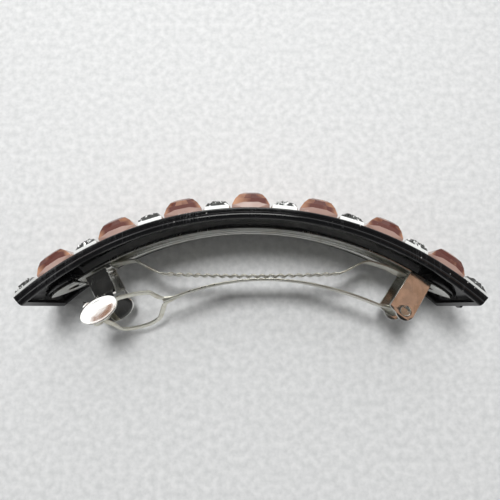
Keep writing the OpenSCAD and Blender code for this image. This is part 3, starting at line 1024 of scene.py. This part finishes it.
@dataclass
class Catch:
    """The saddle, its rivet and the two finger wings.

    Attributes:
        arc: The circle that the clip follows.
        angle: Angle of the wings.
        knuckle_r: Radius of the wings' hinge line.
        knuckle_z: Height of a hinge line above the middle plane.
        plate_r: Radius of the base plate's lower face.
        plate_t: Thickness of the base plate.
        sheet: Thickness of the wings' sheet.
        neck_w: Width of a wing's neck.
        neck_x: Where the neck's middle lies along the clip, from the wings' angle.
        neck_drop: How far down the neck reaches.
        drop_tilt: Outward lean of the line from the neck to the pad.
        pad_tilt: Outward tilt of the pad.
        pad_x: Where the pad's middle lies along the clip, from the wings' angle.
        pad_drop: How far down the pad's middle lies.
        pad_half: Half of the pad's length and of its height.
        crown: Height of the pad's crown.
    """

    arc: Arc
    angle: float = -29.4
    knuckle_r: float = 65.5
    knuckle_z: float = 3.4
    plate_r: float = 66.3
    plate_t: float = 0.6
    sheet: float = 0.42
    neck_w: float = 4.8
    neck_x: float = -1.3
    neck_drop: float = 4.8
    drop_tilt: float = 35.0
    pad_tilt: float = 20.0
    pad_x: float = -3.5
    pad_drop: float = 7.5
    pad_half: tuple[float, float] = (4.25, 2.75)
    crown: float = 0.08

    def build(self, metal: bpy.types.Material) -> None:
        """Makes the saddle, the rivet and both wings."""
        self.saddle(metal)
        self.rivet(metal)
        self.wing(Side.NEAR, metal)
        self.wing(Side.FAR, metal)

    def saddle(self, metal: bpy.types.Material) -> None:
        """Makes the strip bent over the bow's end."""
        piece = Piece("catch_saddle")
        place = self.arc.station(self.knuckle_r, self.angle)
        half = self.knuckle_z - 0.62
        rise = self.plate_r - self.knuckle_r - 0.16
        path = [Vector((0, rise, -half)), Vector((0, 0.3, -half)), Vector((0, 0.02, 0.3 - half)),
                Vector((0, 0, 0)), Vector((0, 0.02, half - 0.3)), Vector((0, 0.3, half)),
                Vector((0, rise, half))]
        across = place.to_3x3() @ Vector((1, 0, 0))
        piece.strip([place @ p for p in smooth_path(path, 5)], across, 4.3, 0.4, 0.12)
        piece.finish(Body.SHELL, metal, ["catch_bridge"])

    def rivet(self, metal: bpy.types.Material) -> None:
        """Makes the rivet with a domed head below and a flat one above."""
        piece = Piece("catch_rivet_pin")
        place = self.arc.station(self.knuckle_r, self.angle)
        top = self.plate_r + self.plate_t - self.knuckle_r
        profile = [(0.2, -0.64), (0.7, -0.6), (1.1, -0.48), (1.32, -0.34), (1.34, -0.26),
                   (0.78, -0.24), (0.78, top + 0.02), (1.3, top + 0.04), (1.3, top + 0.2),
                   (1.0, top + 0.38), (0.2, top + 0.4)]
        piece.loft([[place @ Vector((r * math.cos(a), y, r * math.sin(a)))
                     for a in (2 * math.pi * k / 28 for k in range(28))] for r, y in profile])
        piece.finish(Body.SHELL, metal, ["catch_rivet"])

    def wing(self, side: Side, metal: bpy.types.Material) -> None:
        """Makes one wing: knuckle, neck, two short straps beside the slot, and crowned pad.

        Args:
            side: Which wing.
            metal: Its material.
        """
        body = Body.NEAR_WING if side is Side.NEAR else Body.FAR_WING
        piece = Piece(f"{body.value}_leaf")
        lean = math.tan(math.radians(self.drop_tilt))
        x_axis = Vector((1, 0, 0))
        neck_end = Vector((self.neck_x, -self.neck_drop + 0.1, self.knuckle_z + 0.18))
        neck = [Vector((self.neck_x, 0.24, self.knuckle_z - 0.16)),
                Vector((self.neck_x, 0.1, self.knuckle_z + 0.05)),
                Vector((self.neck_x, -0.5, self.knuckle_z + 0.03)),
                Vector((self.neck_x, -2.2, self.knuckle_z + 0.08)), neck_end]
        piece.strip(smooth_path(neck, 5), x_axis, self.neck_w, self.sheet, 0.12)
        pad_middle = Vector((self.pad_x, -self.pad_drop,
                             self.knuckle_z + 0.2 + (self.pad_drop - 4.3) * lean))
        tilt = Matrix.Rotation(math.radians(-self.pad_tilt), 4, "X")
        pad = Matrix.Translation(pad_middle) @ tilt
        for x, bow in ((self.neck_x - self.neck_w / 2 + 0.38, 0.55),
                       (self.neck_x + self.neck_w / 2 - 0.33, 0.3)):
            start = Vector((x, neck_end.y + 0.3, neck_end.z))
            end = Vector((x - 0.15, -5.9, self.knuckle_z + 0.2 + (5.9 - 4.3) * lean))
            middle = (start + end) / 2 + Vector((0, 0, bow * 0.35))
            piece.strip(smooth_path([start, middle, end], 6), x_axis, 0.72, self.sheet, 0.14)
        self.pad(piece, pad)
        barb = [(-3.0, 2.0), (-1.3, 2.5), (-1.9, 2.95), (-2.45, 3.55), (-2.6, 2.8)]
        piece.slab(barb, [], self.sheet * 0.9, pad, 0.06)
        if side is Side.FAR:
            bmesh.ops.scale(piece.mesh, vec=(1, 1, -1), verts=piece.mesh.verts)
        piece.mesh.transform(self.arc.station(self.knuckle_r, self.angle))
        piece.finish(body, metal, [body.value], 50.0)

    def pad(self, piece: Piece, place: Matrix) -> None:
        """Adds the oval finger pad, crowned outwards and with a rolled rim.

        Args:
            piece: The wing that it belongs to.
            place: The pad's frame, x along the clip, y up the slope, z outwards.
        """
        half = self.sheet / 2
        around = 56
        rows = []
        profile = [(0.05, -half), (0.35, -half), (0.7, -half), (0.9, -half), (0.97, -0.7 * half),
                   (1.0, 0.0), (0.985, 0.8 * half), (0.94, half), (0.88, 0.85 * half),
                   (0.7, half), (0.4, half), (0.05, half)]
        for share, level in profile:
            ring = []
            for k in range(around):
                a = 2 * math.pi * k / around
                x = self.pad_half[0] * share * math.cos(a)
                y = self.pad_half[1] * share * math.sin(a)
                raised = self.crown * (1 - share ** 2) - 0.5 * self.crown
                ring.append(place @ Vector((x, y, level + raised)))
            rows.append(ring)
        piece.loft(rows)


@dataclass
class TensionBow:
    """The waved spring strip under the base plate.

    Attributes:
        arc: The circle that the clip follows.
        width: The strip's width.
        thick: Its thickness.
        low: Where the waved stretch begins along X.
        high: Where it ends.
        wave: Length of one wave.
        wave_height: How far a wave departs from the middle line.
        scallop: How far each edge of the strip draws in at a wave.
    """

    arc: Arc
    width: float = 4.3
    thick: float = 0.42
    low: float = -19.9
    high: float = 19.6
    wave: float = 2.0
    wave_height: float = 0.2
    scallop: float = 0.22

    def path(self) -> tuple[list[Vector], list[float]]:
        """The strip's middle line and how waved it is at each point."""
        arc = self.arc
        left = [arc.point(66.04, -31.7), arc.point(66.04, -29.4), arc.point(66.04, -27.1),
                arc.flat(-26.2, 59.72), arc.flat(-24.7, 59.1), arc.flat(-22.1, 57.7)]
        right = [arc.flat(21.7, 57.6), arc.flat(24.4, 59.0), arc.flat(25.9, 59.38),
                 arc.flat(27.4, 59.1), arc.flat(30.8, 57.95), arc.flat(34, 56.25)]
        middle, waved = [], []
        count = round((self.high - self.low) / self.wave * 10)
        for i in range(count + 1):
            x = self.low + (self.high - self.low) * i / count
            share = min(1.0, (x - self.low) / 2, (self.high - x) / 2)
            y = 56.2 + 0.5 * (x / self.high) ** 2
            y += self.wave_height * share * math.sin(2 * math.pi * x / self.wave)
            middle.append(arc.flat(x, y))
            waved.append(share)
        head = smooth_path([*left, middle[0]], 4)[:-1]
        tail = smooth_path([middle[-1], *right], 4)[1:]
        return [*head, *middle, *tail], [0.0] * len(head) + waved + [0.0] * len(tail)

    def build(self, metal: bpy.types.Material) -> None:
        """Makes the strip, narrowed a little at every wave."""
        path, waved = self.path()

        def width(share: float) -> float:
            """The strip's width at a share of its length."""
            i = round(share * (len(path) - 1))
            pinch = 0.5 - 0.5 * math.cos(4 * math.pi * path[i].x / self.wave)
            return self.width - 2 * self.scallop * waved[i] * pinch

        piece = Piece("waved_bow")
        piece.strip(path, Vector((0, 0, 1)), width, self.thick, 0.12)
        piece.finish(Body.SHELL, metal, ["tension_bow"])


@dataclass
class Arm:
    """The arm: strip, six-sided loop with its lip, and hinge end with two tongues.

    Attributes:
        arc: The circle that the clip follows.
        hinge_angle: Angle of the hinge line.
        hinge_r: Radius of the hinge line.
        width: The strip's width.
        thick: The strip's thickness.
        loop_w: Width of the loop's branches.
        tongue_r: Radius of the half-round hinge tongues.
        steps: Segments along the strip.
    """

    arc: Arc
    hinge_angle: float = 34.0
    hinge_r: float = 58.6
    width: float = 4.0
    thick: float = 0.42
    loop_w: float = 1.15
    tongue_r: float = 0.98
    steps: int = 40

    def strip_path(self) -> list[Vector]:
        """The strip's middle line from the loop's neck to the hinge."""
        ends = [self.arc.flat(-19.2, 50.7), self.arc.flat(-2.7, 57.5), self.arc.flat(11.5, 56.8),
                self.arc.flat(28, 49.9)]
        out = []
        for i in range(self.steps + 1):
            t = i / self.steps
            weights = ((1 - t) ** 3, 3 * (1 - t) ** 2 * t, 3 * (1 - t) * t * t, t ** 3)
            out.append(sum((w * p for w, p in zip(weights, ends)), Vector()))
        hinge = self.arc.point(self.hinge_r, self.hinge_angle)
        return [*out, out[-1].lerp(hinge, 0.5), hinge + Vector((-0.9, 0.15, 0))]

    def loop(self, piece: Piece) -> None:
        """Adds the two branches of the rolled loop and the lip at its tip."""
        near = [(-15.6, 52.0, 1.2), (-17.4, 51.45, 1.25), (-19.3, 51.3, 1.6), (-20.6, 51.8, 2.5),
                (-21.6, 52.4, 3.25), (-22.8, 52.4, 3.4), (-25.2, 52.05, 3.45), (-28.3, 51.3, 3.3),
                (-29.7, 50.7, 2.8), (-31.2, 48.9, 1.1), (-32.6, 47.1, -0.8), (-33.2, 46.6, -1.6)]
        far = [(-15.6, 52.0, -1.2), (-17.4, 51.2, -1.4), (-19.3, 50.2, -2.0), (-20.3, 48.6, -4.0),
               (-21.2, 47.0, -5.7), (-22.3, 46.2, -6.3), (-24.2, 45.3, -6.45),
               (-26.8, 44.6, -6.5), (-29.3, 44.25, -6.4), (-30.6, 44.5, -6.0),
               (-31.7, 45.4, -4.6), (-33.0, 46.3, -2.4)]
        for points in (near, far):
            path = smooth_path([self.arc.flat(*p) for p in points], 5)
            across = []
            for i in range(len(path)):
                turn = min(1.0, i / 14)
                across.append(Vector((0, 0.55 * turn, 1 - 0.17 * turn)))
            piece.strip(path, across, self.loop_w, self.thick, 0.13)
        lip = [(-32.2, 47.2, -1.2), (-33.3, 46.4, -1.5), (-34.1, 45.7, -1.6),
               (-34.8, 45.3, -1.65)]
        piece.strip(smooth_path([self.arc.flat(*p) for p in lip], 4), Vector((0, 0.3, 0.95)),
                    lambda share: 2.3 - 0.9 * share ** 2, self.thick, 0.14)

    def hinge_end(self, piece: Piece) -> None:
        """Adds the cross bar between the ears and a half-round tongue through each hole."""
        place = self.arc.station(self.hinge_r, self.hinge_angle)
        bar = [place @ Vector((0, 0, z)) for z in (-3.2, -2.8, 2.8, 3.2)]
        ahead = place.to_3x3() @ Vector((1, 0, 0))
        piece.strip(bar, ahead, 2.6, 1.7, 0.7)
        tilt = place @ Matrix.Rotation(math.radians(16), 4, "Z")
        outline = circle_points(0, 0, self.tongue_r, 180, 360, 20)
        for side in Side:
            piece.loft([[tilt @ Vector((x, y, side.value * z)) for x, y in outline]
                        for z in (2.6, 3.97)])

    def build(self, metal: bpy.types.Material) -> None:
        """Makes the whole arm."""
        piece = Piece("arm_strip")
        piece.strip(self.strip_path(), Vector((0, 0, 1)),
                    lambda share: 3.0 + (self.width - 3.0) * min(1.0, share * 8), self.thick, 0.13)
        self.loop(piece)
        self.hinge_end(piece)
        piece.finish(Body.ARM, metal, ["arm"])


# ---------------------------------------------------------------- stage


@dataclass
class Studio:
    """Floor, lights and camera.

    Attributes:
        camera_at: The camera's place, in millimetres.
        tilt: How far it leans from straight down.
        lens: Its focal length on a 36 mm wide frame.
    """

    camera_at: tuple[float, float, float] = (-0.165, -9.32, 101.1)
    tilt: float = 7.92
    lens: float = 29.34

    def camera(self) -> None:
        """Makes the camera and makes it the scene's own."""
        data = bpy.data.cameras.new("camera")
        data.lens = self.lens
        data.sensor_width = 36.0
        data.clip_start = 0.001
        obj = bpy.data.objects.new("camera", data)
        obj.location = Vector(self.camera_at) * MM
        obj.rotation_euler = (math.radians(self.tilt), 0, 0)
        bpy.context.scene.collection.objects.link(obj)
        bpy.context.scene.camera = obj

    def floor(self) -> None:
        """Makes a plain pale floor just under the barrette."""
        piece = bmesh.new()
        bmesh.ops.create_grid(piece, x_segments=4, y_segments=4, size=1.5)
        mesh = bpy.data.meshes.new("floor")
        piece.to_mesh(mesh)
        piece.free()
        obj = bpy.data.objects.new("floor", mesh)
        obj.location.z = -0.00002
        material, n, shader, where = new_material("pale_floor")
        cloud = n.add("TexNoise", {"Vector": where, "Scale": 640.0, "Detail": 3.0})
        colour = n.mix(n.ramp(cloud.outputs[0], 0.3, 0.7), (0.70, 0.71, 0.71), (0.86, 0.865, 0.865))
        n.tree.links.new(colour, shader.inputs["Base Color"])
        shader.inputs["Roughness"].default_value = 0.75
        mesh.materials.append(material)
        bpy.context.scene.collection.objects.link(obj)

    def card(self, name: str, at: tuple[float, float, float], size: float, glow: Rgb) -> None:
        """Adds a card outside every view, which shows only in the metal's reflections.

        Args:
            name: The card's name.
            at: Its place, in millimetres.
            size: The length of its side, in millimetres.
            glow: The light that it gives off.
        """
        piece = bmesh.new()
        bmesh.ops.create_grid(piece, x_segments=6, y_segments=6, size=size / 2 * MM)
        mesh = bpy.data.meshes.new(name)
        piece.to_mesh(mesh)
        piece.free()
        obj = bpy.data.objects.new(name, mesh)
        obj.location = Vector(at) * MM
        obj.rotation_euler = (-obj.location).to_track_quat("Z", "Y").to_euler()
        obj.visible_camera = obj.visible_diffuse = obj.visible_shadow = False
        material, n, shader, where = new_material(name)
        cloud = n.add("TexNoise", {"Vector": where, "Scale": 80.0, "Detail": 2.0})
        tint = n.mix(n.ramp(cloud.outputs[0], 0.35, 0.65), tuple(0.38 * c for c in glow), glow)
        n.tree.links.new(tint, shader.inputs["Emission Color"])
        shader.inputs["Emission Strength"].default_value = 1.0
        shader.inputs["Base Color"].default_value = (0, 0, 0, 1)
        mesh.materials.append(material)
        bpy.context.scene.collection.objects.link(obj)

    def light(self, name: str, at: tuple[float, float, float], size: float, power: float) -> None:
        """Adds a square soft white light that points at the barrette and makes no highlight.

        Args:
            name: The light's name.
            at: Its place, in millimetres.
            size: The length of its side, in millimetres.
            power: Its power in watts.
        """
        data = bpy.data.lights.new(name, "AREA")
        data.size = size * MM
        data.energy = power
        obj = bpy.data.objects.new(name, data)
        obj.location = Vector(at) * MM
        obj.rotation_euler = (-obj.location).to_track_quat("-Z", "Y").to_euler()
        obj.visible_glossy = False
        bpy.context.scene.collection.objects.link(obj)

    def world(self) -> None:
        """Sets a soft grey surround: bright behind the stones and at the sides, dark overhead."""
        world = bpy.data.worlds.new("surround")
        world.use_nodes = True
        n = Nodes(world.node_tree)
        n.tree.nodes["Background"].inputs["Strength"].default_value = 0.5
        where = n.add("TexCoord").outputs["Generated"]
        parts = n.add("SeparateXYZ", {"Vector": where})
        side = n.ramp(n.maths("ABSOLUTE", parts.outputs["X"], 0.0), 0.35, 0.95, 0.0, 0.6)
        share = n.maths("MAXIMUM", n.ramp(parts.outputs["Y"], 0.15, 0.9), side)
        horizon = n.mix(share, (0.2, 0.2, 0.2), (2.7, 2.7, 2.7))
        colour = n.mix(n.ramp(parts.outputs["Z"], 0.7, 0.86), horizon, (0.05, 0.05, 0.05))
        n.tree.links.new(colour, n.tree.nodes["Background"].inputs["Color"])
        bpy.context.scene.world = world

    def build(self) -> None:
        """Makes the whole stage."""
        self.camera()
        self.floor()
        self.world()
        self.light("window", (-40, 140, 380), 110, 1.08)
        self.card("warm_card_right", (139, -12, 295), 80, (0.74, 0.44, 0.30))
        self.card("warm_card_left", (-176, 108, 215), 62, (0.5, 0.2, 0.09))
        self.card("pale_card_left", (-235, 160, 258), 180, (2.4, 2.4, 2.4))
        self.card("pale_card_back", (-10, 235, 330), 150, (8.5, 8.5, 8.2))
        bpy.context.scene.view_settings.view_transform = "Standard"


def main() -> None:
    """Builds the studio, then each sub-assembly in order."""
    logging.basicConfig(level=logging.INFO, format="%(name)s: %(message)s")
    Studio().build()
    effects = EffectLibrary()
    arc = Arc.of_shell(42.6)
    plate_steel = BrightSteel("plate_steel").build(effects)
    catch_steel = BrightSteel("catch_steel", colour=(0.78, 0.78, 0.76),
                              gloss=(0.05, 0.16)).build(effects)
    spring_steel = BrightSteel("spring_steel", colour=(0.76, 0.75, 0.67),
                               gloss=(0.27, 0.4)).build(effects)
    # Black plastic for the wedges under the tabs, which paint the tabs' shadow and dark reflection
    # on the shell.
    shade_wedge_plastic = BlackPlastic("adhesive", gloss=(0.2, 0.4), dust=0.3, ripple=0.0001).build(effects)
    Shell(arc).build(BlackPlastic("shell_plastic").build(effects))
    Stones(arc).build(BrownAcrylic("brown_stone").build(effects),
                      SilverFoil("silver_stone").build(effects))
    BasePlate(arc).build(plate_steel, shade_wedge_plastic)
    Catch(arc).build(catch_steel)
    TensionBow(arc).build(spring_steel)
    Arm(arc).build(spring_steel)


if __name__ == "__main__":
    main()
